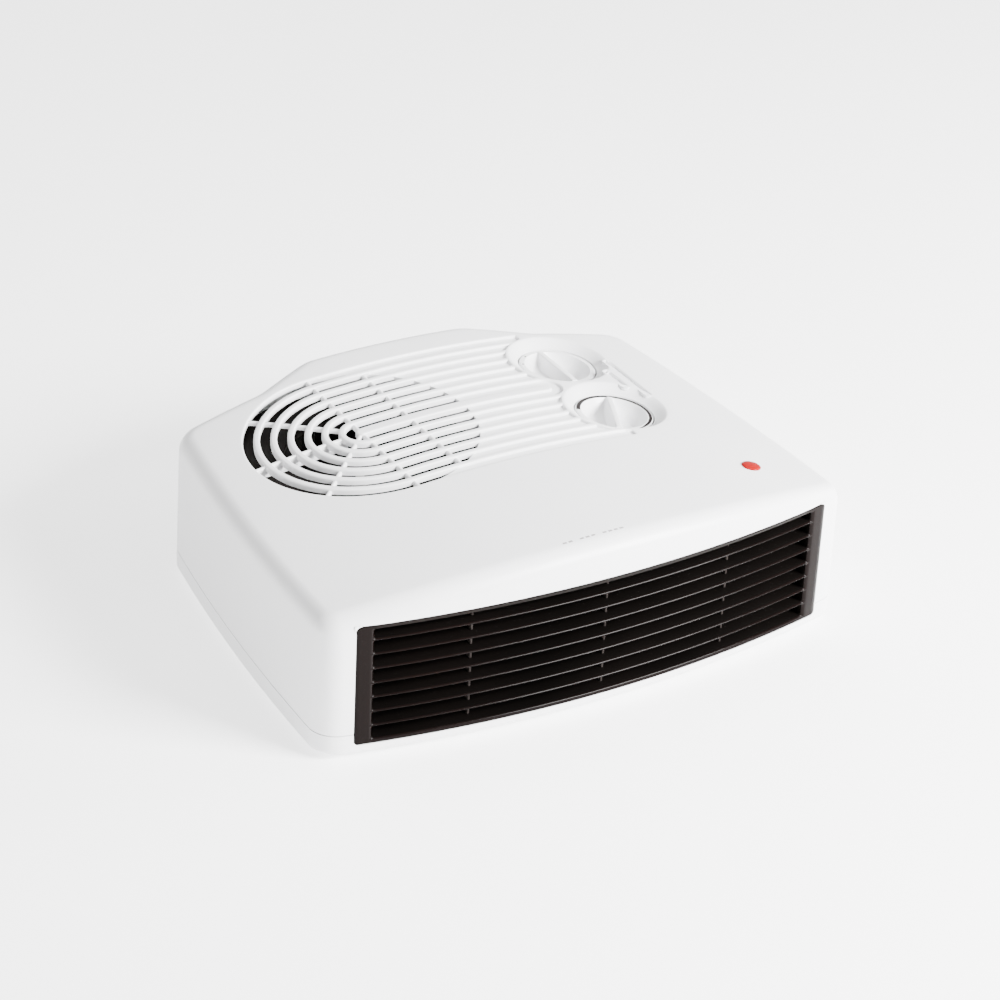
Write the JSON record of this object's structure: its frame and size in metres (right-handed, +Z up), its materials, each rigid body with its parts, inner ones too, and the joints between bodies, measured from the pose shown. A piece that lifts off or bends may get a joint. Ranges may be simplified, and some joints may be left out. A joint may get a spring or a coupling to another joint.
{
  "type": "fan convector heater",
  "caption": "Low domed desk-top fan heater with a bowed slatted outlet, a round fan inlet with long ribs, and two sunken rotary knobs.",
  "frame": {"origin": "middle of the footprint, on the surface that the feet stand on", "axes": "+Z up, -Y towards the warm air outlet, +X to the right as seen from the front"},
  "size_m": [0.3298, 0.2618, 0.1018],
  "materials": {
    "case_white": "satin",
    "knob_white": "satin",
    "grille_dark": "satin",
    "lens_red": "gloss",
    "black_rubber": "matte",
    "zinc_steel": "satin",
    "steel_sheet": "satin",
    "bracket_steel": "satin",
    "mica": "matte",
    "ceramic": "matte",
    "resistance_wire": "satin",
    "copper": "satin",
    "bearing_brass": "satin",
    "grey_plastic": "satin",
    "black_plastic": "satin",
    "lamp_glass": "gloss",
    "lead_brown": "satin",
    "lead_blue": "satin"
  },
  "bodies": {
    "root": {"top_cover": "case_white", "base_tray": "case_white", "front_grille": "grille_dark", "thermostat_body": "zinc_steel", "selector_switch": "black_plastic", "thermostat_nut": "zinc_steel", "selector_nut": "zinc_steel", "thermostat_tabs": "bearing_brass", "selector_tabs": "bearing_brass", "control_bracket": "bracket_steel", "bracket_screws": "zinc_steel", "indicator_lens": "lens_red", "lens_clip": "zinc_steel", "neon_lamp": "lamp_glass", "motor_stator": "steel_sheet", "motor_coil": "copper", "upper_bearing_strap": "bracket_steel", "lower_bearing_strap": "bracket_steel", "upper_bearing_bush": "bearing_brass", "lower_bearing_bush": "bearing_brass", "motor_screws": "zinc_steel", "motor_plate": "bracket_steel", "plate_screws": "zinc_steel", "fan_scroll": "grey_plastic", "scroll_lid": "grey_plastic", "heater_box": "steel_sheet", "mica_cards": "mica", "end_insulators": "ceramic", "front_heating_circuit": "resistance_wire", "rear_heating_circuit": "resistance_wire", "thermal_cutout": "zinc_steel", "thermal_fuse": "zinc_steel", "terminal_block": "grey_plastic", "cord_clamp": "grey_plastic", "clamp_screws": "zinc_steel", "cord_bush": "black_rubber", "rubber_feet": "black_rubber", "lead_live": "lead_brown", "lead_neutral": "lead_blue", "case_screws": "zinc_steel"},
    "rotor": {"fan_impeller": "black_plastic", "impeller_clip": "zinc_steel", "motor_shaft": "zinc_steel", "motor_rotor": "zinc_steel"},
    "selector": {"selector_knob": "knob_white", "selector_spindle": "grey_plastic"},
    "thermostat": {"thermostat_knob": "knob_white", "thermostat_spindle": "bearing_brass"}
  },
  "joints": [
    {"name": "fan_spin", "type": "hinge", "parent": "root", "child": "rotor", "pos_m": [-0.062, 0.0373, 0.0615], "axis": [0, 0, 1], "continuous": true},
    {"name": "selector_turn", "type": "hinge", "parent": "root", "child": "selector", "pos_m": [0.0852, 0.06825, 0.09701], "axis": [0.1121, 0, 0.9937], "range_deg": [-270, 0]},
    {"name": "thermostat_turn", "type": "hinge", "parent": "root", "child": "thermostat", "pos_m": [0.0852, 0.00635, 0.09701], "axis": [0.1121, 0, 0.9937], "range_deg": [-270, 0]}
  ]
}
